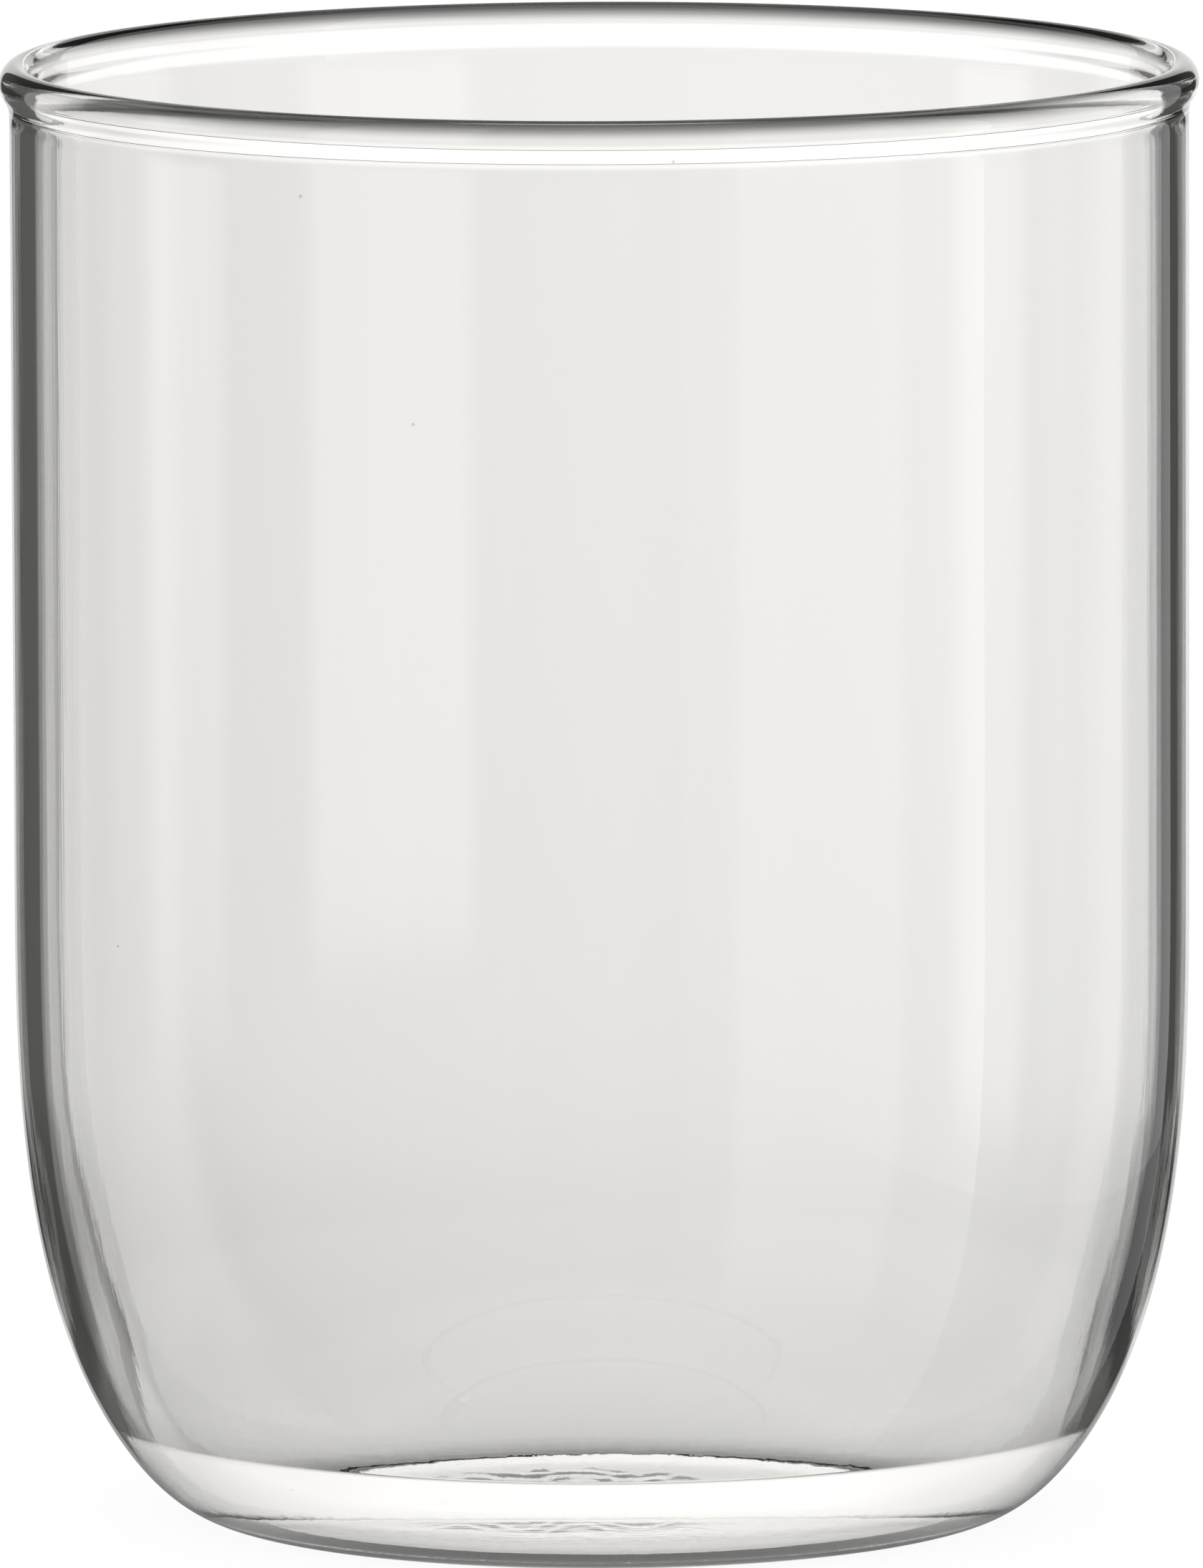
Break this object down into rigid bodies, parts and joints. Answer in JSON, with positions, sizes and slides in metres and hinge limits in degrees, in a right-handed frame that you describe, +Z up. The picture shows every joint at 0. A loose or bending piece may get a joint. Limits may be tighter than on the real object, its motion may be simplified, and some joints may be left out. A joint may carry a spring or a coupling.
{
  "type": "water glass",
  "caption": "Clear straight-sided drinking tumbler with a softly rounded heel, a fire-polished beaded rim and a flat foot to stand on.",
  "frame": {"origin": "centre of the foot, on the surface that the glass stands on", "axes": "+Z up along the glass's axis, out of its mouth; +X to the right and -Y to the front in the picture's view"},
  "size_m": [0.0814, 0.0814, 0.0991],
  "materials": {
    "clear_glass": "clear and colourless, fire-polished, with faint ripples and draw lines"
  },
  "bodies": {
    "root": {"base": "clear_glass", "heel": "clear_glass", "lower_wall": "clear_glass", "side_wall": "clear_glass", "rim_bead": "clear_glass"}
  },
  "joints": []
}
